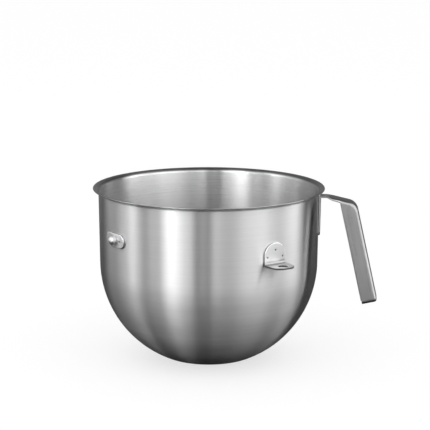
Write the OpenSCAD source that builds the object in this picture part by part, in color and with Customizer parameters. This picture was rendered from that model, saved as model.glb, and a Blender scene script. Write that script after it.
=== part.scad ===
// Stand mixer bowl in stainless sheet, for a mixer that lifts the bowl by two eyed brackets.
// The origin is the centre of the base on the plane it stands on. +Z runs up the bowl's axis,
// the latch pin points along +Y, and the two brackets stand at -X and +X.

/* [Bowl] */
// Overall height, from the foot ring to the top of the lip
bowl_h = 189; // [170:1:210]
// Outside diameter of the wall just under the lip
wall_top_d = 240; // [232:1:250]
// How far the lip reaches out past the wall
lip_reach = 6; // [5:0.5:8]
// Angle by which the wall opens upwards
wall_lean = 0.8; // [0.4:0.1:2]
// Height at which the straight wall runs into the rounded body
body_z = 108; // [102:1:112]
// Radius where the body turns into the foot ring, outside
corner_r = 38; // [30:1:44]
// Thickness of the bowl's sheet
sheet_t = 1; // [0.8:0.1:1.4]
// Angle by which the lip is turned out from the vertical
lip_angle = 78; // [60:1:85]

/* [Foot] */
// Outer radius of the ring that the bowl stands on
foot_out_r = 36; // [32:1:44]
// Inner radius of the ring that the bowl stands on
foot_in_r = 26; // [20:1:30]
// Radius of the fold between the foot ring and the raised centre
foot_fold_r = 12; // [8:1:16]
// Height of the raised centre, underside
dimple_h = 7; // [3:0.5:8]

/* [Brackets] */
// Width of each bracket
bracket_w = 26; // [24:0.5:32]
// Height of the top of a bracket
bracket_top_z = 148.5; // [144:0.5:158]
// Height of the upper face of the ear
ear_z = 126; // [120:0.5:130]
// How far the ear stands out from the bowl's wall
ear_l = 23.8; // [21:0.2:28]
// Corner radius of the ear
ear_corner_r = 10; // [5:0.5:11]
// Thickness of the bracket's plate
bracket_t = 2; // [1.5:0.1:3]
// Radius inside the bracket's fold
bracket_fold_r = 2; // [1:0.1:3]
// Diameter of the hole in the ear
eye_d = 10; // [8:0.1:12]
// Distance of the hole's centre from the ear's end
eye_inset = 8.5; // [7:0.1:10]

/* [Latch] */
// Height of the centre of the latch plate
latch_z = 144; // [138:0.5:152]
// Length of the latch plate round the bowl
latch_l = 34.8; // [30:0.2:40]
// Height of the latch plate
latch_h = 15.5; // [13:0.5:20]
// Thickness of the latch plate
latch_t = 1.8; // [1.2:0.1:2.5]
// Diameter of the latch pin
pin_d = 10.5; // [8:0.5:12]
// Length of the pin's straight stretch
pin_l = 3; // [2:0.5:6]
// Length of the pin's rounded nose
pin_nose_l = 3; // [2:0.5:5]

/* [Handle] */
// Plan angle of the handle
handle_angle = 230; // [200:1:250]
// Thickness of the handle's sheet
handle_t = 1.8; // [1.2:0.1:2.5]
// Width of the grip
grip_w = 22; // [19:0.5:28]
// Depth of the grip's side walls
grip_depth = 16.2; // [14:0.2:20]
// Length of the grip, from the corner above it to its lower end
grip_l = 110.4; // [90:0.2:115]
// Radius along the grip's long edges, outside
edge_r = 4; // [3:0.1:5]
// Radius of those edges at the grip's lower end
end_edge_r = 2.6; // [2.2:0.1:4]
// Length over which the edges tighten at the lower end
end_l = 12; // [8:1:20]
// Radius of the fold at the grip's lower end, outside
end_fold_r = 2.8; // [2.4:0.1:5]
// Angle by which the grip leans out from the vertical
grip_lean = 12.7; // [5:0.1:18]
// Radius of the bend between the arm and the grip, outside
arm_bend_r = 13; // [9:0.5:16]
// Length of the sloping part of the arm, to the corner above the grip
arm_l = 32.5; // [28:0.5:40]
// Angle by which the arm slopes down
arm_slope = 12.4; // [6:0.1:18]
// Depth of the arm's turned-down edges
arm_depth = 2.4; // [2:0.1:6]
// Angle by which the arm's edges are turned down
arm_turn = 53; // [30:1:60]
// Length over which the neck widens into the arm
widen_l = 7; // [4:0.5:10]
// Height of the top of the arm
arm_top_z = 182; // [172:0.5:182]
// Length of the level start of the arm, from the wall
neck_l = 8.5; // [7:0.5:12]
// Width of the weld tab and of the level start of the arm
neck_w = 14; // [12:0.5:18]
// Radius of the fold between the tab and the arm, outside
tab_fold_r = 3.4; // [2.8:0.1:5]
// Height of the lower end of the weld tab
tab_low_z = 138.5; // [130:0.5:150]
// Radius of the weld tab's lower corners
tab_corner_r = 4; // [2:0.5:6]
// Radius of the slight bend between the neck and the arm
neck_bend_r = 12; // [8:1:16]

/* [Fit] */
// Gap left between each welded piece and what it is welded to
seat_gap = 0.05; // [0.02:0.01:0.2]

/* [Hidden] */
steel = "#b9babb";
plate_steel = "#c4c5c6";
$fn = 96;
// Steps in the bowl's section: raised centre, its fold, the corner, the body and the lip
cap_steps = 3;
fold_steps = 2;
corner_steps = 3;
body_steps = 9;
lip_steps = 5;
// Height of the solids that only cut an outline, larger than the bowl
span = 2 * bowl_h;
// Steps round the strip's long edges, and the straight rim past them where there is no side wall
edge_steps = 4;
rim_l = 0.5;

// Lip: the bend radius follows from how far the lip reaches past the wall
edge_half = sheet_t / 2;
lip_r = (lip_reach - edge_half * (1 - cos(lip_angle))) / (cos(wall_lean) - cos(lip_angle));
lip_c_z = bowl_h - edge_half - (lip_r + edge_half) * sin(lip_angle);
lip_foot_z = lip_c_z + lip_r * sin(wall_lean);
lip_c_r = wall_top_d / 2 + lip_r * cos(wall_lean);

// Outside radius of the wall at a height
function wall_r(z) = wall_top_d / 2 - (lip_foot_z - z) * tan(wall_lean);

// The body's arc touches the wall at body_z and the corner's arc below. Its radius solves
// (body_r - corner_r)^2 = (body_r / cos(wall_lean) - body_in)^2 + body_up^2.
body_in = wall_r(body_z) - foot_out_r;
body_up = body_z - corner_r;
body_k1 = body_in / cos(wall_lean) - corner_r;
body_k0 = pow(body_in, 2) + pow(body_up, 2) - pow(corner_r, 2);
body_r = body_k0 / (body_k1 + sqrt(pow(body_k1, 2) - pow(tan(wall_lean), 2) * body_k0));
body_c_r = wall_r(body_z) - body_r / cos(wall_lean);
corner_end = atan2(corner_r - body_z, foot_out_r - body_c_r);

// Raised centre: a cap that runs into the fold at the foot ring
cap_r = (pow(foot_in_r, 2) + pow(foot_fold_r - dimple_h, 2) - pow(foot_fold_r, 2)) / (2 * dimple_h);
cap_angle = atan2(foot_in_r, cap_r + foot_fold_r - dimple_h);

// Points of an arc round c, from angle a0 to angle a1
function arc(c, r, a0, a1, n) =
    [for (i = [0 : n]) let (a = a0 + (a1 - a0) * i / n) [c[0] + r * cos(a), c[1] + r * sin(a)]];
function reversed(list) = [for (i = [len(list) - 1 : -1 : 0]) list[i]];

// One face of the sheet, from the axis out to the lip. depth is its distance inside the outer face.
function face(depth) = concat(
    arc([0, dimple_h - cap_r], cap_r + depth, 90, 90 - cap_angle, cap_steps),
    arc([foot_in_r, foot_fold_r], foot_fold_r - depth, 270 - cap_angle, 270, fold_steps),
    arc([foot_out_r, corner_r], corner_r - depth, -90, corner_end, corner_steps),
    arc([body_c_r, body_z], body_r - depth, corner_end, -wall_lean, body_steps),
    arc([lip_c_r, lip_c_z], lip_r + depth, 180 - wall_lean, 180 - lip_angle, lip_steps)
);
lip_edge = arc([lip_c_r - (lip_r + edge_half) * cos(lip_angle), lip_c_z + (lip_r + edge_half) * sin(lip_angle)],
    edge_half, -lip_angle, 180 - lip_angle, 4);

module bowl_shell() {
    color(steel)
    rotate_extrude()
    polygon(concat(face(0), lip_edge, reversed(face(sheet_t))));
}

// A ring that lies on the wall between two heights, from one distance off the wall to another
module wall_ring(z0, z1, near, far) {
    rotate_extrude()
    polygon([[wall_r(z0) + near, z0], [wall_r(z0) + far, z0], [wall_r(z1) + far, z1], [wall_r(z1) + near, z1]]);
}

// Section of a bracket: an upright on the wall, a fold and a level ear
ear_reach = wall_r(ear_z) + ear_l;
eye_reach = ear_reach - eye_inset;
bracket_low_z = ear_z + bracket_fold_r;
bracket_fold_c = [wall_r(bracket_low_z) + seat_gap + bracket_t + bracket_fold_r, bracket_low_z];
module bracket_section() {
    polygon(concat(
        [[ear_reach, ear_z]],
        reversed(arc(bracket_fold_c, bracket_fold_r, 180, 270, 6)),
        [[wall_r(bracket_top_z) + seat_gap + bracket_t, bracket_top_z],
         [wall_r(bracket_top_z) + seat_gap, bracket_top_z]],
        arc(bracket_fold_c, bracket_fold_r + bracket_t, 180, 270, 6),
        [[ear_reach, ear_z - bracket_t]]
    ));
}

// The upright's outline seen from outside, with a half-round top
module bracket_outline() {
    half = bracket_w / 2;
    translate([0, bracket_top_z - half]) circle(half);
    translate([-half, 0]) square([bracket_w, bracket_top_z - half]);
}

// The ear's outline seen from above, with rounded corners at its end
module ear_outline() {
    half = bracket_w / 2;
    translate([0, -half]) square([ear_reach - ear_corner_r, bracket_w]);
    translate([0, -half + ear_corner_r]) square([ear_reach, bracket_w - 2 * ear_corner_r]);
    for (side = [-1, 1])
        translate([ear_reach - ear_corner_r, side * (half - ear_corner_r)]) circle(ear_corner_r);
}

// A bracket on the +X side
module bracket() {
    difference() {
        intersection() {
            rotate_extrude() bracket_section();
            rotate([90, 0, 90]) linear_extrude(span) bracket_outline();
            linear_extrude(span) ear_outline();
        }
        translate([eye_reach, 0, ear_z - 2 * bracket_t]) cylinder(d = eye_d, h = 3 * bracket_t);
    }
}

module left_bracket() {
    color(plate_steel) rotate([0, 0, 180]) bracket();
}

module right_bracket() {
    color(plate_steel) bracket();
}

// Outline of the latch plate, round at both ends
module latch_outline() {
    straight = latch_l - latch_h;
    square([straight, latch_h], center = true);
    for (side = [-1, 1]) translate([side * straight / 2, 0]) circle(d = latch_h);
}

module latch_plate() {
    color(plate_steel)
    intersection() {
        wall_ring(latch_z - latch_h, latch_z + latch_h, seat_gap, seat_gap + latch_t);
        translate([0, span, latch_z]) rotate([90, 0, 0]) linear_extrude(span) latch_outline();
    }
}

// The pin is welded to the plate and ends in a rounded nose
pin_seat = wall_r(latch_z + pin_d / 2) + 2 * seat_gap + latch_t;
nose_r = (pow(pin_d / 2, 2) + pow(pin_nose_l, 2)) / (2 * pin_nose_l);
nose_angle = asin(pin_d / 2 / nose_r);
module latch_pin() {
    color(plate_steel)
    translate([0, pin_seat, latch_z])
    rotate([-90, 0, 0])
    rotate_extrude()
    polygon(concat(
        [[0, 0], [pin_d / 2, 0]],
        arc([0, pin_l + pin_nose_l - nose_r], nose_r, 90 - nose_angle, 90, 5)
    ));
}

// The handle is one strip. Its path is drawn in the side view, where x runs out from the bowl's
// axis and y runs up: up the tab, out along the neck and the arm, down the grip and in along
// the folded end. The strip's outer face lies on the path, and its thickness to the right of it.
tab_corner = [wall_r(arm_top_z) + seat_gap / cos(wall_lean), arm_top_z];
neck_corner = tab_corner + [neck_l, 0];
grip_corner = neck_corner + arm_l * unit(-arm_slope);
end_corner = grip_corner + grip_l * unit(grip_lean - 90);
corners = [
    tab_corner - (arm_top_z - tab_low_z) * [tan(wall_lean), 1],
    tab_corner, neck_corner, grip_corner, end_corner,
    end_corner + grip_depth * unit(grip_lean - 180)
];
headings = [90 - wall_lean, 0, -arm_slope, grip_lean - 90, grip_lean - 180];
bend_radii = [0, tab_fold_r, neck_bend_r, arm_bend_r, end_fold_r, 0];

function unit(a) = [cos(a), sin(a)];
function turn_at(k) = k == 0 || k == 5 ? 0 : headings[k - 1] - headings[k];
// What a bend takes off each of its two legs
function bend_cut(k) = bend_radii[k] * tan(turn_at(k) / 2);
function leg_l(k) = norm(corners[k + 1] - corners[k]);
// Length of the path from its start to where leg k becomes straight
function run_to(k) = k == 0 ? 0 : run_to(k - 1) + leg_l(k - 1) - bend_cut(k - 1) - bend_cut(k)
    + bend_radii[k] * turn_at(k) * PI / 180;

// A station is [place in the side view, heading, run]. s is the distance from the leg's corner.
function station(k, s) = [corners[k] + s * unit(headings[k]), headings[k], run_to(k) + s - bend_cut(k)];
function leg_stations(k, marks) =
    [for (s = concat([bend_cut(k)], marks, [leg_l(k) - bend_cut(k + 1)])) station(k, s)];
function bend_stations(k, n) = let (
        start = station(k - 1, leg_l(k - 1) - bend_cut(k)),
        centre = start[0] + bend_radii[k] * unit(headings[k - 1] - 90)
    ) [for (i = [1 : n - 1]) let (turned = turn_at(k) * i / n) [
        centre + bend_radii[k] * unit(headings[k - 1] + 90 - turned),
        headings[k - 1] - turned,
        start[2] + bend_radii[k] * turned * PI / 180
    ]];

// Where the arm's low edge meets the inner edge of the grip's side walls
grip_turn = turn_at(3);
wall_meet = (grip_depth - arm_depth * cos(grip_turn)) / sin(grip_turn);
wall_corner = station(2, arm_l - wall_meet)[0] + arm_depth * unit(-arm_slope - 90);
low_arm = station(2, arm_l - wall_meet)[2];
high_grip = station(3, bend_cut(3));
low_grip = station(3, grip_l - end_l);
wall_end = corners[5] - (end_edge_r + rim_l) * unit(headings[3]);

path = concat(
    leg_stations(0, [0.12, 0.35, 0.65, 1] * tab_corner_r),
    bend_stations(1, 4),
    leg_stations(1, [neck_l - 2 * bend_cut(2)]),
    bend_stations(2, 2),
    leg_stations(2, concat([0.3, 0.5, 0.7, 1] * widen_l,
        [for (d = [-4, -1, 1, 4]) arm_l - wall_meet + d])),
    bend_stations(3, 8),
    leg_stations(3, [grip_l / 2, grip_l - end_l, grip_l - 0.6 * end_l]),
    bend_stations(4, 4),
    leg_stations(4, [grip_depth / 2])
);

// A smooth step from 0 at a to 1 at b
function ease(x, a, b) = let (s = min(1, max(0, (x - a) / (b - a)))) s * s * (3 - 2 * s);
function between(p, q, s) = p + min(1, max(0, s)) * (q - p);

// The strip's half width, the radius of its long edges, and how far they are turned down
function grow(run) = ease(run, run_to(2) - bend_cut(2), run_to(2) + widen_l);
function half_w(run) = neck_w / 2 + (grip_w - neck_w) / 2 * grow(run) - tab_corner_r
    + sqrt(pow(tab_corner_r, 2) - pow(min(tab_corner_r, max(0, tab_corner_r - run)), 2));
function edge_at(run) = edge_r + (end_edge_r - edge_r) * ease(run, low_grip[2] - 4, low_grip[2] + 9);
function bend_at(run) = 3 + (arm_turn - 3) * grow(run) + (90 - arm_turn) * ease(run, low_arm - 5, low_arm + 5);
function walled(run) = ease(run, low_arm - 3, low_arm + 1);

// The free edge of the side wall in the side view
function rim_at(place, run) =
    run <= high_grip[2] ? between(wall_corner, high_grip[0] + grip_depth * unit(headings[4]),
        (run - low_arm) / (high_grip[2] - low_arm)) :
    run <= low_grip[2] ? place + grip_depth * unit(headings[4]) :
    between(low_grip[0] + grip_depth * unit(headings[4]), wall_end,
        (run - low_grip[2]) / (run_to(4) + grip_depth - bend_cut(4) - low_grip[2]));

// One side of a cross-section, from the flat face over the long edge to the free edge. Each
// point is [across, place in the side view]. inset is 0 on the outer face and 1 on the inner.
function half_section(st, side, inset) = let (
        run = st[2], inward = unit(st[1] - 90), e = edge_at(run), full = bend_at(run),
        flat = half_w(run) - e * sin(full), w = walled(run),
        arc_end = st[0] + e * (1 - cos(full)) * inward,
        leg = w * (rim_at(st[0], run) - arc_end) + (1 - w) * rim_l * sin(full) * inward
    ) [for (i = [0 : edge_steps + 1]) let (
        a = full * min(i, edge_steps) / edge_steps, out = i > edge_steps ? 1 : 0,
        across = flat + e * sin(a) + out * (1 - w) * rim_l * cos(full) - inset * handle_t * sin(a),
        place = st[0] + (e * (1 - cos(a)) + inset * handle_t * cos(a)) * inward + out * leg
    ) [place[0], place[1], side * across]];

// Closed ring of a cross-section: along the outer face and back along the inner one
function ring(st) = concat(
    reversed(half_section(st, -1, 0)), half_section(st, 1, 0),
    reversed(half_section(st, 1, 1)), half_section(st, -1, 1));

module strip() {
    n = 4 * (edge_steps + 2);
    last = (len(path) - 1) * n;
    polyhedron(
        points = [for (st = path) each ring(st)],
        faces = concat(
            [for (k = [0 : len(path) - 2], i = [0 : n - 1], half = [0, 1]) let (
                a = k * n + i, b = k * n + (i + 1) % n) half == 0 ? [a, b, b + n] : [a, b + n, a + n]],
            [for (i = [0 : n / 2 - 2], half = [0, 1]) let (a = n - 1 - i, b = n - 2 - i)
                half == 0 ? [i, a, b] : [i, b, i + 1]],
            [for (i = [0 : n / 2 - 2], half = [0, 1]) let (a = n - 1 - i, b = n - 2 - i)
                half == 0 ? [last + i, last + b, last + a] : [last + i, last + i + 1, last + b]]
        ),
        convexity = 6
    );
}

module handle() {
    color(steel)
    rotate([0, 0, handle_angle])
    rotate([90, 0, 0])
    strip();
}

bowl_shell();
left_bracket();
right_bracket();
latch_plate();
latch_pin();
handle();
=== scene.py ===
import math

import bpy
import numpy as np
from mathutils import Matrix, Vector


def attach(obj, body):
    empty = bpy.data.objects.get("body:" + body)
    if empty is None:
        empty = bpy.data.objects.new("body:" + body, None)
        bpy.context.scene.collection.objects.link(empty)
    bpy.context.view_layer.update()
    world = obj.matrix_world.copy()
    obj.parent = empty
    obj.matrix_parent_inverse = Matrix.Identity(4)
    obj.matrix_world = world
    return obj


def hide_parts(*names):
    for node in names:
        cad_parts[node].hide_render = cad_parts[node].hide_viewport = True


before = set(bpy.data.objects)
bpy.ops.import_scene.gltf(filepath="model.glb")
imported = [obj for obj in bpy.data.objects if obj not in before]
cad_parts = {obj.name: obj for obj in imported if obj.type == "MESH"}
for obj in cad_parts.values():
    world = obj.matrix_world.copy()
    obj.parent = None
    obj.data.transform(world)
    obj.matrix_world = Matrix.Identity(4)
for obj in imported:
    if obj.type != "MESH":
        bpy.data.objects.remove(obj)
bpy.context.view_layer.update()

# The bowl
# It is one piece of 1 mm stainless sheet, pressed deep and turned on a former. Its lip is rolled
# out nearly level, the base is pressed up inside a foot ring, and the fine brushing runs round it.
MM = 0.001
BOWL_HEIGHT = 189.0
WALL_DIAMETER = 240.0
LIP_REACH = 6.0
WALL_LEAN = math.radians(0.8)
BODY_LEVEL = 108.0
CORNER_RADIUS = 38.0
SHEET = 1.0
LIP_TURN = math.radians(78.0)
FOOT_OUTER_RADIUS, FOOT_INNER_RADIUS, FOOT_FOLD = 36.0, 26.0, 12.0
BASE_RISE = 7.0
WALL_TOP = 181.18
LIP_BEND = 3.4
LIP_FLAT = (LIP_REACH - SHEET / 2 * (1 - math.cos(LIP_TURN))
            - LIP_BEND * (math.cos(WALL_LEAN) - math.cos(LIP_TURN))) / math.sin(LIP_TURN)
LIP_LEVEL = BOWL_HEIGHT - SHEET / 2 - (LIP_BEND + SHEET / 2) * math.sin(LIP_TURN) - LIP_FLAT * math.cos(LIP_TURN)
LIP_X = WALL_DIAMETER / 2 + LIP_BEND * math.cos(WALL_LEAN)


def wall_radius(z):
    """Outside radius of the leaning wall: it shrinks by tan(lean) for each step down from its top."""
    return WALL_DIAMETER / 2 - (WALL_TOP - z) * math.tan(WALL_LEAN)


def arc(centre, radius, start, end, steps):
    """Points centre + radius (cos a, sin a), with a in degrees from start to end in equal steps."""
    a = np.radians(np.linspace(start, end, steps + 1))
    return np.column_stack([centre[0] + radius * np.cos(a), centre[1] + radius * np.sin(a)])


def bowl_face(depth):
    """One face of the sheet as (radius, height), from the axis to the lip, depth inside the outer
    face: a cap, the foot ring's fold, the corner, the body and the lip, each arc tangent to the
    next. The body's radius b solves (b - corner)^2 = (b / cos lean - inset)^2 + rise^2."""
    inset, rise = wall_radius(BODY_LEVEL) - FOOT_OUTER_RADIUS, BODY_LEVEL - CORNER_RADIUS
    linear = inset / math.cos(WALL_LEAN) - CORNER_RADIUS
    constant = inset ** 2 + rise ** 2 - CORNER_RADIUS ** 2
    body = constant / (linear + math.sqrt(linear ** 2 - math.tan(WALL_LEAN) ** 2 * constant))
    body_x = wall_radius(BODY_LEVEL) - body / math.cos(WALL_LEAN)
    corner_end = math.degrees(math.atan2(-rise, FOOT_OUTER_RADIUS - body_x))
    cap = (FOOT_INNER_RADIUS ** 2 + (FOOT_FOLD - BASE_RISE) ** 2 - FOOT_FOLD ** 2) / (2 * BASE_RISE)
    cap_turn = math.degrees(math.atan2(FOOT_INNER_RADIUS, cap + FOOT_FOLD - BASE_RISE))
    lean, turn = math.degrees(WALL_LEAN), math.degrees(LIP_TURN)
    bend = arc((LIP_X, LIP_LEVEL), LIP_BEND + depth, 180 - lean, 180 - turn, 14)
    flat = bend[-1] + np.linspace(0, LIP_FLAT, 5)[1:, None] * [math.sin(LIP_TURN), math.cos(LIP_TURN)]
    return np.vstack([
        arc((0, BASE_RISE - cap), cap + depth, 90, 90 - cap_turn, 12)[:-1],
        arc((FOOT_INNER_RADIUS, FOOT_FOLD), FOOT_FOLD - depth, 270 - cap_turn, 270, 8),
        arc((FOOT_OUTER_RADIUS, CORNER_RADIUS), CORNER_RADIUS - depth, -90, corner_end, 16)[:-1],
        arc((body_x, BODY_LEVEL), body - depth, corner_end, -lean, 48),
        bend, flat,
    ])


def lip_edge():
    """The rounded edge of the lip: a half circle as wide as the sheet, from its lower face over."""
    reach = LIP_BEND + SHEET / 2
    x = LIP_X - reach * math.cos(LIP_TURN) + LIP_FLAT * math.sin(LIP_TURN)
    z = LIP_LEVEL + reach * math.sin(LIP_TURN) + LIP_FLAT * math.cos(LIP_TURN)
    turn = math.degrees(LIP_TURN)
    return arc((x, z), SHEET / 2, -turn, 180 - turn, 8)[1:-1]


def lathe(profile, segments):
    """A profile of (radius, height) that starts and ends on the axis, turned round it: point k of
    ring j is (r cos, r sin, z) at equal plan angles, with one vertex at each pole."""
    plan = np.linspace(0, 2 * np.pi, segments, endpoint=False)
    r, z = profile[1:-1, :1], profile[1:-1, 1:]
    rings = np.stack([r * np.cos(plan), r * np.sin(plan), z + 0 * plan], axis=-1)
    poles = [[0, 0, profile[0, 1]], [0, 0, profile[-1, 1]]]
    vertices = np.vstack([rings.reshape(-1, 3), poles])
    index = np.arange(len(r) * segments).reshape(len(r), segments)
    after = np.roll(index, -1, axis=1)
    quads = np.stack([index[:-1], after[:-1], after[1:], index[1:]], axis=-1).reshape(-1, 4)
    low, high = len(vertices) - 2, len(vertices) - 1
    fans = np.vstack([
        np.column_stack([np.full(segments, low), after[0], index[0]]),
        np.column_stack([np.full(segments, high), index[-1], after[-1]]),
    ])
    return vertices, quads.tolist() + fans.tolist()


def outward(vertices, faces):
    """Turns the faces round if the volume that they enclose, summed over their triangles, is negative."""
    fan = np.array([(f[0], f[k], f[k + 1]) for f in faces for k in range(1, len(f) - 1)])
    a, b, c = (vertices[fan[:, k]] for k in range(3))
    if np.einsum("ij,ij->", a, np.cross(b, c)) < 0:
        faces = [f[::-1] for f in faces]
    return faces


def make_piece(name, vertices, faces, grain, shade, replaced, material):
    """A smooth mesh in metres that stands for one CAD node. grain is, for each vertex, a place in
    the brushing's own space: two numbers along the lines, then one across them. shade is a factor
    on the steel's colour at each vertex, which carries painted shade below 1 and painted light above 1."""
    mesh = bpy.data.meshes.new(name)
    mesh.from_pydata((vertices * MM).tolist(), [], outward(vertices, faces))
    mesh.polygons.foreach_set("use_smooth", np.ones(len(mesh.polygons), bool))
    attribute = mesh.attributes.new("grain", "FLOAT_VECTOR", "POINT")
    attribute.data.foreach_set("vector", (grain * MM).astype(np.float32).ravel())
    attribute = mesh.attributes.new("shade", "FLOAT", "POINT")
    attribute.data.foreach_set("value", (np.ones(len(vertices)) * shade).astype(np.float32))
    mesh.validate()
    mesh.materials.append(material)
    piece = bpy.data.objects.new(name, mesh)
    bpy.context.scene.collection.objects.link(piece)
    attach(piece, "root")
    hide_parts(replaced)
    return piece


def brush_lines():
    """Node group: noise stretched along the grain, fine lines over broader bands. It gives the
    lines' height, and a tone and a roughness that change a little from line to line."""
    group = bpy.data.node_groups.new("brush_lines", "ShaderNodeTree")
    group.interface.new_socket("Grain", in_out="INPUT", socket_type="NodeSocketVector")
    for name in ("Height", "Tone", "Roughness"):
        group.interface.new_socket(name, in_out="OUTPUT", socket_type="NodeSocketFloat")
    nodes, links = group.nodes, group.links
    start, end = nodes.new("NodeGroupInput"), nodes.new("NodeGroupOutput")
    heights = []
    for along, across, weight in ((14.0, 5200.0, 1.0), (6.0, 900.0, 0.6)):
        stretch = nodes.new("ShaderNodeVectorMath")
        stretch.operation = "MULTIPLY"
        stretch.inputs[1].default_value = (along, along, across)
        noise = nodes.new("ShaderNodeTexNoise")
        noise.inputs["Scale"].default_value = 1.0
        noise.inputs["Detail"].default_value = 3.0
        noise.inputs["Roughness"].default_value = 0.6
        weigh = nodes.new("ShaderNodeMath")
        weigh.operation = "MULTIPLY"
        weigh.inputs[1].default_value = weight
        links.new(start.outputs["Grain"], stretch.inputs[0])
        links.new(stretch.outputs[0], noise.inputs["Vector"])
        links.new(noise.outputs[0], weigh.inputs[0])
        heights.append(weigh)
    total = nodes.new("ShaderNodeMath")
    total.operation = "ADD"
    links.new(heights[0].outputs[0], total.inputs[0])
    links.new(heights[1].outputs[0], total.inputs[1])
    links.new(total.outputs[0], end.inputs["Height"])
    for name, low, high in (("Tone", 0.94, 1.06), ("Roughness", -0.05, 0.05)):
        spread = nodes.new("ShaderNodeMapRange")
        spread.inputs["From Min"].default_value = 0.5
        spread.inputs["From Max"].default_value = 1.1
        spread.inputs["To Min"].default_value = low
        spread.inputs["To Max"].default_value = high
        links.new(total.outputs[0], spread.inputs["Value"])
        links.new(spread.outputs[0], end.inputs[name])
    return group


BRUSH_LINES = brush_lines()


def steel(name, colour, roughness, anisotropy, line_depth):
    """Brushed stainless steel: full metal, with the brushing's tone, roughness and height from
    the brush_lines group, and the stretch of its highlights on the shader's own socket."""
    material = bpy.data.materials.new(name)
    material.use_nodes = True
    nodes, links = material.node_tree.nodes, material.node_tree.links
    shader = nodes["Principled BSDF"]
    shader.inputs["Metallic"].default_value = 1.0
    shader.inputs["Anisotropic"].default_value = anisotropy
    shader.inputs["Anisotropic Rotation"].default_value = 0.25
    grain = nodes.new("ShaderNodeAttribute")
    grain.attribute_name = "grain"
    lines = nodes.new("ShaderNodeGroup")
    lines.node_tree = BRUSH_LINES
    links.new(grain.outputs["Vector"], lines.inputs["Grain"])
    tone = nodes.new("ShaderNodeMix")
    tone.data_type = "RGBA"
    tone.blend_type = "MULTIPLY"
    tone.inputs["Factor"].default_value = 1.0
    tone.inputs["A"].default_value = (*colour, 1.0)
    # The shade attribute multiplies the colour: painted shade and painted light, set per vertex.
    shade = nodes.new("ShaderNodeAttribute")
    shade.attribute_name = "shade"
    shaded = nodes.new("ShaderNodeMath")
    shaded.operation = "MULTIPLY"
    links.new(lines.outputs["Tone"], shaded.inputs[0])
    links.new(shade.outputs["Fac"], shaded.inputs[1])
    links.new(shaded.outputs[0], tone.inputs["B"])
    links.new(tone.outputs["Result"], shader.inputs["Base Color"])
    rough = nodes.new("ShaderNodeMath")
    rough.operation = "ADD"
    rough.inputs[1].default_value = roughness
    links.new(lines.outputs["Roughness"], rough.inputs[0])
    links.new(rough.outputs[0], shader.inputs["Roughness"])
    bump = nodes.new("ShaderNodeBump")
    bump.inputs["Strength"].default_value = 0.35
    bump.inputs["Distance"].default_value = line_depth
    links.new(lines.outputs["Height"], bump.inputs["Height"])
    links.new(bump.outputs["Normal"], shader.inputs["Normal"])
    return material


# Painted shade and light on the bowl's outside, by height in mm: the colour is darkened towards the foot for the
# shadow and dark reflection there, and raised on the round of the body for light.
BODY_PAINTED_SHADING = [(0, 0.2), (12, 0.32), (25, 0.72), (45, 1.13), (70, 1.2), (105, 1.0)]
# Painted light and shade inside the bowl, by height in mm: the colour is raised towards the rim and lowered further
# down.
INSIDE_PAINTED_LIGHT = [(120, 0.68), (165, 0.74), (181, 1.02)]
# Painted shade on the lip: its top face is darkened for the dark reflection it shows, and its rounded edge is darkened
# underneath and left light above, for a dark line under a light one.
LIP_TOP_SHADE, LIP_EDGE_SHADE = 0.7, [0.3, 0.3, 0.3, 0.45, 0.9, 0.9, 0.6]


def ease(x, start, end):
    """Smooth step from 0 at start to 1 at end: 3 s^2 - 2 s^3."""
    s = np.clip((x - start) / (end - start), 0, 1)
    return s * s * (3 - 2 * s)


def make_bowl():
    outer, inner = bowl_face(0), bowl_face(SHEET)
    profile = np.vstack([outer, lip_edge(), inner[::-1]])
    vertices, faces = lathe(profile, 256)
    run = np.concatenate([[0], np.cumsum(np.hypot(*np.diff(profile, axis=0).T))])
    across = np.concatenate([np.repeat(run[1:-1], 256), run[[0, -1]]])
    grain = np.column_stack([vertices[:, 0], vertices[:, 1], across])
    on_outer = np.arange(len(profile)) < len(outer)
    # Painted shade and light per profile point: the outside darkens towards the foot and lightens on the body; the
    # lip's top, its rounded edge and the inside follow their own tables.
    body = np.interp(profile[:, 1], *np.transpose(BODY_PAINTED_SHADING))
    lip_top = 1 - LIP_TOP_SHADE * ease(profile[:, 1], LIP_LEVEL + 1, LIP_LEVEL + 3.5)
    tone = np.where(on_outer, body, lip_top * np.interp(profile[:, 1], *np.transpose(INSIDE_PAINTED_LIGHT)))
    tone[len(outer):len(outer) + len(LIP_EDGE_SHADE)] = LIP_EDGE_SHADE
    shade = np.concatenate([np.repeat(tone[1:-1], 256), tone[[0, -1]]])
    bowl = make_piece("bowl", vertices, faces, grain, shade, "bowl_shell",
                      steel("brushed_bowl", (0.66, 0.66, 0.665), 0.35, 1.0, 0.00001))
    bowl.data.materials.append(steel("brushed_inside", (0.66, 0.66, 0.665), 0.3, 1.0, 0.00001))
    band = np.arange(len(bowl.data.polygons)) // 256
    inside = (band >= len(outer) + 6) & (band != len(profile) - 3)
    bowl.data.polygons.foreach_set("material_index", inside.astype(np.int32))
    return bowl


make_bowl()

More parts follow.
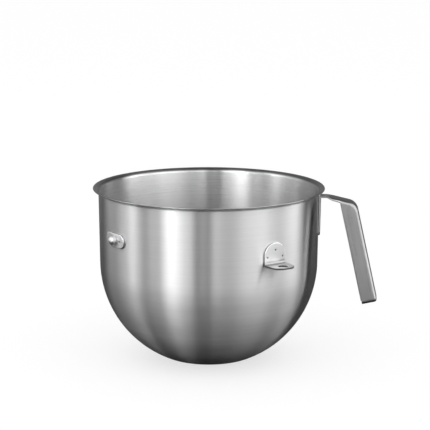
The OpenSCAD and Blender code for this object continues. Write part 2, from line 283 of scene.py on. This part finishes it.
# The brackets
# Each is a 2 mm stainless plate with a half-round top, projection welded to the wall at three
# points, and folded out below into a level ear. A mixer's locating pin passes the ear's eye.
BRACKET_HALF = 13.0
BRACKET_TOP = 148.5
PLATE = 2.0
FOLD = 2.0
EAR_LEVEL = 126.0
EAR_REACH = wall_radius(EAR_LEVEL) + 23.8
EAR_CORNER = 10.0
EYE_REACH, EYE_RADIUS = EAR_REACH - 8.5, 5.0
SEAT = 0.05
FOLD_LEVEL = EAR_LEVEL + FOLD
FOLD_X = wall_radius(FOLD_LEVEL) + SEAT + PLATE + FOLD
UPRIGHT = BRACKET_TOP - FOLD_LEVEL
FOLD_RUN = FOLD * math.pi / 2
EYE_RUN = UPRIGHT + FOLD_RUN + EYE_REACH - FOLD_X
BRACKET_RUN = UPRIGHT + FOLD_RUN + EAR_REACH - FOLD_X


def evenly(points, count):
    """count points at equal distances along a closed polyline."""
    closed = np.vstack([points, points[:1]])
    run = np.concatenate([[0], np.cumsum(np.hypot(*np.diff(closed, axis=0).T))])
    at = np.linspace(0, run[-1], count, endpoint=False)
    return np.column_stack([np.interp(at, run, closed[:, k]) for k in range(2)])


def bracket_outline(count):
    """The flat plate's outline as (run down the plate, place across): half-round top, straight
    sides and two rounded corners at the ear's end."""
    end, side = BRACKET_RUN - EAR_CORNER, BRACKET_HALF - EAR_CORNER
    return evenly(np.vstack([
        arc((end, side), EAR_CORNER, 0, 90, 40),
        arc((BRACKET_HALF, 0), BRACKET_HALF, 90, 270, 120),
        arc((end, -side), EAR_CORNER, 270, 360, 40),
    ]), count)


def plate_section(thickness, edge, rows, back_rows):
    """The closed way round a plate's section, from its inner rim to its outer rim and back. Each
    row is (share of the way out, distance added, depth below the front face)."""
    out = np.column_stack([np.linspace(0, 1, rows), np.zeros(rows), np.zeros(rows)])
    out[:, 1] = edge * (1 - 2 * out[:, 0])
    turn = np.radians(np.linspace(0, 90, 6))[1:]
    near = np.column_stack([np.ones(5), -edge + edge * np.sin(turn), edge - edge * np.cos(turn)])
    far = near[::-1] * [1, 1, -1] + [0, 0, thickness]
    back = out[np.linspace(rows - 1, 0, back_rows).astype(int)][1:] + [0, 0, thickness]
    inner = np.vstack([far[::-1], near[::-1]]) * [0, -1, 1]
    return np.vstack([out, near, far, back, inner[:-1]])


def pits(run, across, places, radius):
    """How deep in a welded dimple each point lies: exp(-(d / radius)^4) round each place."""
    away = [np.hypot(run - r, across - a) for r, a in places]
    return sum(np.exp(-(d / radius) ** 4) for d in away)


# Painted shade: the share of colour left on a plate's cut edge, and the share left in a welded dimple.
CUT_EDGE_SHADE, DIMPLE = 0.4, 0.03


def plate_shade(depth, thickness, front, pit):
    """Painted shade: the cut edge of a plate is darkened to stand for its dark reflection, and its welded dimples are
    darkened almost to black.
    """
    edge = ease(depth, 0.05, 0.4) * (1 - ease(depth, thickness - 0.4, thickness))
    return (1 - (1 - CUT_EDGE_SHADE) * edge) * (1 - (1 - DIMPLE) * front * pit)


def fold_bracket(run, across, depth):
    """Places the flat plate's point at its run, across and depth: down the wall, round the fold
    (angle = run / radius) and out along the ear, bowed to the wall until just past the fold."""
    angle = np.clip((run - UPRIGHT) / FOLD, 0, math.pi / 2) + math.pi
    z_wall = BRACKET_TOP - run
    on_wall = run < UPRIGHT
    on_ear = run > UPRIGHT + FOLD_RUN
    r = np.where(on_wall, wall_radius(z_wall) + SEAT + PLATE - depth, FOLD_X + (FOLD + depth) * np.cos(angle))
    z = np.where(on_wall, z_wall, FOLD_LEVEL + (FOLD + depth) * np.sin(angle))
    beyond = np.clip(run - UPRIGHT - FOLD_RUN, 0, None)
    r = np.where(on_ear, FOLD_X + beyond, r)
    bow = 1 - np.clip(beyond / 5, 0, 1) ** 2 * (3 - 2 * np.clip(beyond / 5, 0, 1))
    x = r - bow * (r - np.sqrt(r ** 2 - across ** 2))
    return x, across, z


def ring_faces(count, rows):
    """Quads between neighbouring rows of a grid that closes on itself both ways."""
    index = np.arange(count * rows).reshape(count, rows)
    next_row, next_column = np.roll(index, -1, axis=1), np.roll(index, -1, axis=0)
    both = np.roll(next_row, -1, axis=0)
    return np.stack([index, next_row, both, next_column], axis=-1).reshape(-1, 4).tolist()


# Painted shade on the bracket's fold and ear, which dims the fold's highlight and the ear's top face.
EAR_SHADE = 0.64


def make_bracket(name, side, replaced, material):
    outline = bracket_outline(320)
    spokes = outline - [EYE_RUN, 0]
    length = np.hypot(*spokes.T)[:, None]
    section = plate_section(PLATE, 0.45, 90, 14)
    reach = EYE_RADIUS + section[:, 0] * (length - EYE_RADIUS) + section[:, 1]
    run = EYE_RUN + reach * spokes[:, :1] / length
    across = reach * spokes[:, 1:] / length
    front = np.clip(1 - section[:, 2] / 0.2, 0, 1)
    welds = [(BRACKET_TOP - 140.9, 0.0), (BRACKET_TOP - 133.4, 9.65), (BRACKET_TOP - 133.4, -9.65)]
    pit = pits(run, across, welds, 0.95)
    depth = section[:, 2] + 0.1 * front * pit
    shade = plate_shade(section[:, 2] + 0 * run, PLATE, front, pit)
    # Painted shade from just above the fold onto the ear.
    shade = shade * (1 - EAR_SHADE * ease(run, UPRIGHT - 3, UPRIGHT + 1))
    x, y, z = fold_bracket(run, across, depth)
    vertices = np.stack([side * x, side * y, z], axis=-1).reshape(-1, 3)
    grain = np.stack([across, depth, run], axis=-1).reshape(-1, 3)
    faces = ring_faces(len(outline), len(section))
    return make_piece(name, vertices, faces, grain, shade.ravel(), replaced, material)


# Painted light: the brackets' colour is raised well above the bowl's steel so their upright faces show as light as the
# wall round them.
bracket_material = steel("satin_bracket", (0.94, 0.94, 0.945), 0.38, 0.0, 0.00001)
make_bracket("bracket_left", -1, "left_bracket", bracket_material)
make_bracket("bracket_right", 1, "right_bracket", bracket_material)

# The latch
# A plate with round ends is welded to the back of the wall and carries a turned pin with a
# rounded nose. The mixer's spring clip closes on the pin.
LATCH_LEVEL = 144.0
LATCH_LENGTH, LATCH_HEIGHT, LATCH_PLATE = 34.8, 15.5, 1.8
PIN_RADIUS, PIN_STRAIGHT, PIN_NOSE = 5.25, 3.0, 3.0
PIN_SEAT = wall_radius(LATCH_LEVEL + PIN_RADIUS) + 2 * SEAT + LATCH_PLATE


def make_latch_plate():
    half, end = (LATCH_LENGTH - LATCH_HEIGHT) / 2, LATCH_HEIGHT / 2
    outline = evenly(np.vstack([arc((half, 0), end, -90, 90, 60), arc((-half, 0), end, 90, 270, 60)]), 256)
    edge = 1.2
    turn = np.radians(np.linspace(0, 90, 8))[1:]
    share = np.linspace(0, 1, 56)[1:]
    front = np.column_stack([share, -edge * share, 0 * share])
    near = np.column_stack([np.ones(7), -edge + edge * np.sin(turn), edge - edge * np.cos(turn)])
    low = np.array([[1, 0, LATCH_PLATE - 0.15], [1, -0.15, LATCH_PLATE], [0.6, 0, LATCH_PLATE], [0.2, 0, LATCH_PLATE]])
    section = np.vstack([front, near, low])
    length = np.hypot(*outline.T)[:, None]
    reach = section[:, 0] * length + section[:, 1]
    x = reach * outline[:, :1] / length
    up = reach * outline[:, 1:] / length
    face = np.clip(1 - section[:, 2] / 0.2, 0, 1)
    pit = pits(x, up, [(9.6, 0.0), (-9.6, 0.0)], 1.0)
    depth = section[:, 2] + 0.1 * face * pit
    shade = plate_shade(section[:, 2] + 0 * x, LATCH_PLATE, face, pit)
    r = wall_radius(LATCH_LEVEL + up) + SEAT + LATCH_PLATE - depth
    grid = np.stack([x, np.sqrt(r ** 2 - x ** 2), LATCH_LEVEL + up], axis=-1)
    count, rows = grid.shape[:2]
    middle = wall_radius(LATCH_LEVEL) + SEAT
    vertices = np.vstack([grid.reshape(-1, 3), [[0, middle + LATCH_PLATE, LATCH_LEVEL], [0, middle, LATCH_LEVEL]]])
    index = np.arange(count * rows).reshape(count, rows)
    after = np.roll(index, -1, axis=0)
    quads = np.stack([index[:, :-1], index[:, 1:], after[:, 1:], after[:, :-1]], axis=-1).reshape(-1, 4)
    top, bottom = count * rows, count * rows + 1
    fans = np.vstack([
        np.column_stack([np.full(count, top), index[:, 0], after[:, 0]]),
        np.column_stack([np.full(count, bottom), after[:, -1], index[:, -1]]),
    ])
    grain = vertices[:, [0, 1, 2]]
    # Painted light: the latch plate's colour is raised above the bowl's steel to lift its lower half, which reflects
    # the dark mat.
    return make_piece("latch_plate_face", vertices, quads.tolist() + fans.tolist(), grain,
                      np.append(shade.ravel(), [1.0, 1.0]), "latch_plate",
                      steel("satin_latch", (0.82, 0.82, 0.825), 0.42, 0.0, 0.00001))


def make_latch_pin():
    """A turned pin: a straight stretch with a small fillet, then a domed nose."""
    nose = (PIN_RADIUS ** 2 + PIN_NOSE ** 2) / (2 * PIN_NOSE)
    turn = math.degrees(math.asin(PIN_RADIUS / nose))
    dome = arc((0, PIN_STRAIGHT + PIN_NOSE - nose), nose, 90 - turn, 90, 20)
    profile = np.vstack([[[0, 0], [PIN_RADIUS - 0.1, 0], [PIN_RADIUS, 0.1]],
                         [[PIN_RADIUS, PIN_STRAIGHT - 0.3]], dome])
    turned, faces = lathe(profile, 96)
    vertices = np.column_stack([turned[:, 0], PIN_SEAT + turned[:, 2], LATCH_LEVEL - turned[:, 1]])
    grain = np.column_stack([turned[:, 0], turned[:, 1], turned[:, 2] + np.hypot(turned[:, 0], turned[:, 1])])
    return make_piece("latch_pin_turned", vertices, faces, grain, 1.0, "latch_pin",
                      steel("turned_pin", (0.56, 0.56, 0.565), 0.45, 0.0, 0.00001))


make_latch_plate()
make_latch_pin()

# The handle
# One strip of 1.8 mm stainless sheet. It is welded to the wall by a tab, turns out under the lip,
# widens into an arm with turned-down edges, and bends down into a channel-shaped grip whose
# lower end is folded shut.
HANDLE_PLAN = math.radians(230.0)
STRIP = 1.8
GRIP_HALF, NECK_HALF = 11.0, 7.0
EDGE = 2.9
END_EDGE = 2.6
TAB_FOLD, NECK_BEND, ARM_BEND, END_FOLD = 3.4, 12.0, 13.0, 2.8
ARM_TOP, TAB_LOW = 182.0, 138.5
NECK_RUN, ARM_RUN, GRIP_RUN = 8.5, 32.5, 110.4
ARM_SLOPE, GRIP_LEAN = math.radians(12.4), math.radians(12.7)
GRIP_DEPTH, ARM_DEPTH = 16.2, 2.4
TAB_CORNER = 4.0


def turned_path(corners, radii, step):
    """Samples a polyline whose inner corners are rounded by radii. Gives the points, the unit
    directions and the run from the start. An arc of radius r takes r tan(turn / 2) of each leg."""
    legs = np.diff(corners, axis=0)
    lengths = np.hypot(*legs.T)
    headings = np.arctan2(legs[:, 1], legs[:, 0])
    turns = headings[:-1] - headings[1:]
    cut = np.concatenate([[0], radii * np.tan(turns / 2), [0]])
    points, angles = [], []
    for k, heading in enumerate(headings):
        ahead = np.array([math.cos(heading), math.sin(heading)])
        start, end = cut[k], lengths[k] - cut[k + 1]
        at = np.linspace(start, end, max(2, int(round((end - start) / step)) + 1))
        points.append(corners[k] + at[:, None] * ahead)
        angles.append(np.full(len(at), heading))
        if k < len(turns):
            inward = np.array([ahead[1], -ahead[0]])
            centre = points[-1][-1] + radii[k] * inward
            steps = max(6, int(round(radii[k] * turns[k] / (0.6 * step))))
            swing = np.linspace(0, turns[k], steps + 1)[1:-1]
            a = heading + math.pi / 2 - swing
            points.append(centre + radii[k] * np.column_stack([np.cos(a), np.sin(a)]))
            angles.append(heading - swing)
    points, angles = np.vstack(points), np.concatenate(angles)
    run = np.concatenate([[0], np.cumsum(np.hypot(*np.diff(points, axis=0).T))])
    return points, angles, run


# Painted shade on the handle: the highlight on its long rounded edges is dimmed, its folded lower end is darkened for
# the dark reflection there, and the arm's top and outer face are darkened past the neck.
LONG_EDGE_SHADE, HEEL_SHADE, TOP_SHADE = 0.36, 0.7, 0.52
# Painted light and shade on the handle by height in mm: its colour is raised low on the grip and lowered towards the
# arm.
GRIP_PAINTED_SHADING = [(85, 1.29), (108, 1.24), (137, 1.03), (160, 0.87)]


def handle_grid():
    """The outer face of the strip as a grid: side-view path by place across it. Across, the flat
    face runs into an arc of radius e that turns down by an angle a, and then into the side wall,
    which is ruled from the arc's end to the free edge."""
    tab_top = np.array([wall_radius(ARM_TOP) + SEAT / math.cos(WALL_LEAN), ARM_TOP])
    tab_end = tab_top - (ARM_TOP - TAB_LOW) * np.array([math.tan(WALL_LEAN), 1])
    neck = tab_top + [NECK_RUN, 0]
    down = np.array([math.cos(ARM_SLOPE), -math.sin(ARM_SLOPE)])
    shoulder = neck + ARM_RUN * down
    along_grip = np.array([math.sin(GRIP_LEAN), -math.cos(GRIP_LEAN)])
    into_grip = np.array([-math.cos(GRIP_LEAN), -math.sin(GRIP_LEAN)])
    heel = shoulder + GRIP_RUN * along_grip
    toe = heel + GRIP_DEPTH * into_grip
    corners = np.array([tab_end, tab_top, neck, shoulder, heel, toe])
    radii = np.array([TAB_FOLD, NECK_BEND, ARM_BEND, END_FOLD])
    path, heading, run = turned_path(corners, radii, 1.0)
    inward = np.column_stack([np.sin(heading), -np.cos(heading)])

    def run_at(point):
        return run[np.argmin(np.hypot(*(path - point).T))]

    widen = run_at(neck)
    turn = math.pi / 2 - GRIP_LEAN - ARM_SLOPE
    meet = (GRIP_DEPTH - ARM_DEPTH * math.cos(turn)) / math.sin(turn)
    low_arm = run_at(shoulder - meet * down)
    bend_end = run_at(shoulder + ARM_BEND * math.tan(turn / 2) * along_grip)
    low_grip = run_at(heel - 12 * along_grip)
    last = run[-1]

    grow = ease(run, widen - 1.0, widen + 7.0)
    half = NECK_HALF + (GRIP_HALF - NECK_HALF) * grow
    near_end = np.clip(TAB_CORNER - run, 0, TAB_CORNER)
    half = half - TAB_CORNER + np.sqrt(TAB_CORNER ** 2 - near_end ** 2)
    edge = EDGE + (END_EDGE - EDGE) * ease(run, low_grip - 4, low_grip + 9)
    bend = np.radians(3 + 50 * grow + 37 * ease(run, low_arm - 5, low_arm + 5))

    corner = shoulder - meet * down + ARM_DEPTH * np.array([-math.sin(ARM_SLOPE), -math.cos(ARM_SLOPE)])
    grip_start = path[run == bend_end][0] + GRIP_DEPTH * into_grip
    grip_stop = path[run == low_grip][0] + GRIP_DEPTH * into_grip
    rim_end = toe - (END_EDGE + 0.5) * along_grip
    share = np.clip((run - low_arm) / (bend_end - low_arm), 0, 1)[:, None]
    rim = corner + share * (grip_start - corner)
    straight = (run > bend_end) & (run <= low_grip)
    rim = np.where(straight[:, None], path + GRIP_DEPTH * into_grip, rim)
    closing = np.clip((run - low_grip) / (last - low_grip), 0, 1)[:, None]
    rim = np.where((run > low_grip)[:, None], grip_stop + closing * (rim_end - grip_stop), rim)

    flat = half - edge * np.sin(bend)
    face = flat[:, None] * np.linspace(0, 1, 7)[:-1]
    swing = bend[:, None] * np.linspace(0, 1, 11)
    arc_across = flat[:, None] + edge[:, None] * np.sin(swing)
    arc_depth = edge[:, None] * (1 - np.cos(swing))
    arc_end = path + arc_depth[:, -1:] * inward
    whole = ease(run, low_arm - 3, low_arm + 1)[:, None]
    short = 0.4 * np.sin(bend)[:, None] * inward
    wall_end = whole * (rim - arc_end) + (1 - whole) * short
    out = np.linspace(0, 1, 13)[1:]
    wall = arc_end[:, None, :] + out[None, :, None] * wall_end[:, None, :]
    wall_across = arc_across[:, -1:] + (1 - whole) * 0.4 * np.cos(bend)[:, None] * out
    side = np.concatenate([
        path[:, None, :] + 0 * face[:, :, None],
        path[:, None, :] + arc_depth[:, :, None] * inward[:, None, :],
        wall,
    ], axis=1)
    across = np.concatenate([face, arc_across, wall_across], axis=1)
    side = np.concatenate([side[:, :0:-1], side], axis=1)
    across = np.concatenate([-across[:, :0:-1], across], axis=1)
    edge_band = np.concatenate([np.zeros(face.shape[1]), np.sin(np.linspace(0, np.pi, 11)) ** 0.5, np.zeros(12)])
    edge_band = np.concatenate([edge_band[:0:-1], edge_band])
    # Painted shade and light on the handle's colour: dimmed edges, a dark folded end, a height gradient and a darker
    # top past the neck.
    to_end = (heel - side) @ along_grip
    shade = (1 - LONG_EDGE_SHADE * edge_band) * (1 - HEEL_SHADE * (1 - ease(to_end, 2.0, 4.5)))
    shade = shade * np.interp(side[..., 1], *np.transpose(GRIP_PAINTED_SHADING))
    past_neck = ease(run, widen, widen + 3)[:, None]
    top = np.concatenate([np.ones(face.shape[1]), np.linspace(1, 0, 11), np.zeros(12)])
    shade = shade * (1 - TOP_SHADE * past_neck * np.concatenate([top[:0:-1], top]))
    return np.concatenate([side[..., :1], across[..., None], side[..., 1:]], axis=-1), run, shade


def sheet_ring(outer, thickness):
    """Gives a sheet its thickness: the inner face lies at outer - thickness n, with n the unit
    cross product of the grid's two directions, and each free side gets a half-round rim."""
    along = np.gradient(outer, axis=0)
    across = np.gradient(outer, axis=1)
    n = np.cross(along, across)
    n /= np.linalg.norm(n, axis=-1, keepdims=True)
    middle = outer[:, outer.shape[1] // 2]
    inner = outer - thickness * n
    if np.linalg.norm(inner[120, 3] - middle[120]) > np.linalg.norm(outer[120, 3] - middle[120]):
        n = -n
        inner = outer - thickness * n
    across /= np.linalg.norm(across, axis=-1, keepdims=True)
    turn = np.radians([45, 90, 135])[None, :, None]

    def rim(column, way):
        centre = (outer[:, column] + inner[:, column])[:, None] / 2
        return centre + thickness / 2 * (np.cos(turn) * n[:, None, column] + way * np.sin(turn) * across[:, None, column])

    return np.concatenate([outer, rim(-1, 1), inner[:, ::-1], rim(0, -1)[:, ::-1]], axis=1), inner


def make_handle():
    outer, run, shade = handle_grid()
    ring, inner = sheet_ring(outer, STRIP)
    stations, width = ring.shape[:2]
    columns = outer.shape[1]
    pair = np.concatenate([np.arange(columns + 3, 2 * columns + 3)[::-1], [columns + 2, columns + 1, columns],
                           np.arange(columns)[::-1], [width - 1, width - 2, width - 3]])
    ends = []
    for first, step in ((0, 1), (stations - 1, -1)):
        middle = (ring[first] + ring[first][pair]) / 2
        away = ring[first] - ring[first + step]
        away /= np.linalg.norm(away, axis=-1, keepdims=True)
        ends.append(middle + 0.6 * (ring[first] - middle) + 0.3 * away)
    ring = np.concatenate([ends[0][None], ring, ends[1][None]])
    run = np.concatenate([[run[0]], run, [run[-1]]])
    index = np.arange(ring.shape[0] * width).reshape(-1, width)
    after = np.roll(index, -1, axis=1)
    faces = np.stack([index[:-1], index[1:], after[1:], after[:-1]], axis=-1).reshape(-1, 4).tolist()
    for row, flip in ((index[0], 1), (index[-1], -1)):
        for k in range(columns - 1):
            faces.append([row[k], row[k + 1], row[pair[k + 1]], row[pair[k]]][::flip])
        for low, high, tip in ((columns - 1, columns + 3, columns + 1), (0, 2 * columns + 2, width - 2)):
            side = [row[low], row[low + 1], row[high - 1], row[high]] if low else [
                row[high], row[high + 1], row[width - 1], row[0]]
            faces.append(side[::flip])
            near = [row[tip - 1], row[tip], row[tip + 1]]
            faces.append(near[::flip])
    r, t, z = ring[..., 0], ring[..., 1], ring[..., 2]
    x = r * math.cos(HANDLE_PLAN) - t * math.sin(HANDLE_PLAN)
    y = r * math.sin(HANDLE_PLAN) + t * math.cos(HANDLE_PLAN)
    vertices = np.stack([x, y, z], axis=-1).reshape(-1, 3)
    girth = np.cumsum(np.linalg.norm(np.diff(ring, axis=1, prepend=ring[:, :1]), axis=-1), axis=1)
    grain = np.stack([run[:, None] + 0 * girth, 0 * girth, girth], axis=-1).reshape(-1, 3)
    faces = [[int(v) for v in f] for f in faces]
    shade = np.concatenate([shade, np.repeat(shade[:, -1:], 3, axis=1), shade[:, ::-1], np.repeat(shade[:, :1], 3, axis=1)], axis=1)
    shade = np.concatenate([shade[:1], shade, shade[-1:]])
    return make_piece("handle_sheet", vertices, faces, grain, shade.ravel(), "handle",
                      steel("brushed_handle", (0.63, 0.63, 0.635), 0.3, 0.0, 0.00001))


make_handle()

# The table, the light and the camera
# The bowl stands on a plain white table in front of white paper, in soft light. A tent of pale
# and dark cloth and a dark felt mat, out of the picture, give the steel its light and dark bands.
WHITE = (1.0, 1.0, 1.0, 1.0)


CAMERA_PLAN = math.radians(145.4)
CAMERA_RISE = math.radians(10.358)
CAMERA_AWAY = 1.8
FOCAL_PIXELS = 1654.53
FRAME_PIXELS = 430.0
RIM_PIXEL = (208.751, 186.560)
CAMERA_ROLL = math.radians(0.139)


def plain(name, colour, glow):
    """A matt surface of one colour, lit a little from behind."""
    material = bpy.data.materials.new(name)
    material.use_nodes = True
    shader = material.node_tree.nodes["Principled BSDF"]
    shader.inputs["Base Color"].default_value = (*colour, 1.0)
    shader.inputs["Roughness"].default_value = 0.9
    shader.inputs["Emission Color"].default_value = WHITE
    shader.inputs["Emission Strength"].default_value = glow
    return material


def glowing(name):
    """A surface that glows by its own glow attribute and reflects nothing."""
    material = bpy.data.materials.new(name)
    material.use_nodes = True
    nodes, links = material.node_tree.nodes, material.node_tree.links
    nodes.remove(nodes["Principled BSDF"])
    glow = nodes.new("ShaderNodeAttribute")
    glow.attribute_name = "glow"
    light = nodes.new("ShaderNodeEmission")
    links.new(glow.outputs["Fac"], light.inputs["Strength"])
    links.new(light.outputs[0], nodes["Material Output"].inputs["Surface"])
    return material


def stage_piece(name, vertices, faces, material):
    mesh = bpy.data.meshes.new(name)
    mesh.from_pydata([tuple(v) for v in vertices], [], faces)
    mesh.materials.append(material)
    piece = bpy.data.objects.new(name, mesh)
    bpy.context.scene.collection.objects.link(piece)
    return piece


def only_reflected(piece, levels):
    """Shows a panel to reflections only, and gives each of its vertices its glow."""
    glow = piece.data.attributes.new("glow", "FLOAT", "POINT")
    glow.data.foreach_set("value", np.asarray(levels, np.float32))
    piece.visible_camera = piece.visible_diffuse = piece.visible_shadow = False
    piece.visible_transmission = piece.visible_volume_scatter = False


def make_table():
    """A large flat table top of white paper."""
    size = 30.0
    corners = [(-size, -size, 0), (size, -size, 0), (size, size, 0), (-size, size, 0)]
    return stage_piece("table", corners, [(0, 1, 2, 3)], plain("white_table", (0.3, 0.3, 0.3), 0.7))


TENT = [
    (-180, 0.3), (-150, 0.3), (-135, 0.2), (-120, 1.1), (-108, 0.9), (-98, 1.7), (-90, 2.0), (-82, 3.6),
    (-74, 1.6), (-66, 0.7), (-58, 2.0), (-50, 1.4), (-42, 4.6), (-36, 5.0), (-30, 3.6), (-24, 2.5),
    (-18, 2.5), (-12, 0.3), (-6, 1.5), (0, 0.5), (6, 2.4), (12, 1.8), (20, 1.6), (28, 1.85), (36, 2.5),
    (46, 2.7), (56, 3.0), (66, 2.3), (76, 1.85), (86, 2.6), (96, 3.5), (104, 2.4), (112, 0.25), (120, 0.1),
    (132, 0.3), (146, 0.15), (180, 0.3),
]


TENT_ROWS = [(0.0, 1.0), (1.2, 1.0), (3.0, 0.15)]


def make_tent():
    """Tall cloth panels round the bowl, lighter and darker by plan angle from the camera, with the
    levels between two seams blended evenly, and darker towards the top. They are seen only as
    reflections in the steel."""
    count, radius = 360, 1.4
    turn = np.linspace(-180, 180, count, endpoint=False)
    plan = CAMERA_PLAN + np.radians(turn)
    stops = np.array(TENT, float)
    level = np.interp(turn, stops[:, 0], stops[:, 1])
    low = np.column_stack([radius * np.cos(plan), radius * np.sin(plan), 0 * plan])
    vertices = np.vstack([low + [0, 0, height] for height, share in TENT_ROWS])
    index = np.arange(count * (len(TENT_ROWS) - 1)).reshape(-1, count)
    after = np.roll(index, -1, axis=1)
    faces = np.stack([index, after, after + count, index + count], axis=-1).reshape(-1, 4).tolist()
    tent = stage_piece("tent", vertices, faces, glowing("tent_cloth"))
    only_reflected(tent, np.concatenate([share * level for height, share in TENT_ROWS]))


def make_mat():
    """A dark felt mat under the bowl, seen only as a reflection in the steel."""
    count, radius, height = 96, 1.3, 0.0003
    turn = np.linspace(0, 2 * np.pi, count, endpoint=False)
    vertices = np.column_stack([radius * np.cos(turn), radius * np.sin(turn), np.full(count, height)])
    mat = stage_piece("mat", vertices, [list(range(count))], glowing("mat_felt"))
    only_reflected(mat, np.full(count, 0.02))


def make_world():
    """White paper all round."""
    world = bpy.data.worlds.new("paper")
    bpy.context.scene.world = world
    world.use_nodes = True
    nodes, links = world.node_tree.nodes, world.node_tree.links
    background = nodes["Background"]
    background.inputs["Color"].default_value = WHITE
    path = nodes.new("ShaderNodeLightPath")
    dim = nodes.new("ShaderNodeMapRange")
    dim.inputs["To Min"].default_value = 1.0
    dim.inputs["To Max"].default_value = 0.2
    links.new(path.outputs["Is Glossy Ray"], dim.inputs["Value"])
    links.new(dim.outputs[0], background.inputs["Strength"])


def make_camera():
    """The camera stands at a plan angle and rise from the centre of the rim, and is turned so
    that the rim's centre falls a little left of and above the middle of the picture."""
    toward = Vector((math.cos(CAMERA_PLAN) * math.cos(CAMERA_RISE),
                     math.sin(CAMERA_PLAN) * math.cos(CAMERA_RISE), math.sin(CAMERA_RISE)))
    place = Vector((0, 0, BOWL_HEIGHT * MM)) + CAMERA_AWAY * toward
    aside, below = RIM_PIXEL[0] - FRAME_PIXELS / 2, RIM_PIXEL[1] - FRAME_PIXELS / 2
    yaw = math.atan(aside / FOCAL_PIXELS)
    pitch = -CAMERA_RISE + math.atan(below / math.hypot(FOCAL_PIXELS, aside))
    heading = CAMERA_PLAN + math.pi + yaw
    ahead = Vector((math.cos(heading) * math.cos(pitch), math.sin(heading) * math.cos(pitch), math.sin(pitch)))
    right = ahead.cross(Vector((0, 0, 1))).normalized()
    up = right.cross(ahead)
    turn = Matrix((right, up, -ahead)).transposed()
    data = bpy.data.cameras.new("camera")
    data.sensor_width = 36.0
    data.lens = FOCAL_PIXELS / FRAME_PIXELS * data.sensor_width
    data.clip_end = 200.0
    camera = bpy.data.objects.new("camera", data)
    camera.matrix_world = Matrix.Translation(place) @ (turn @ Matrix.Rotation(CAMERA_ROLL, 3, "Z")).to_4x4()
    bpy.context.scene.collection.objects.link(camera)
    bpy.context.scene.camera = camera


make_table()
make_tent()
make_mat()
make_world()
make_camera()
bpy.context.scene.view_settings.view_transform = "Standard"
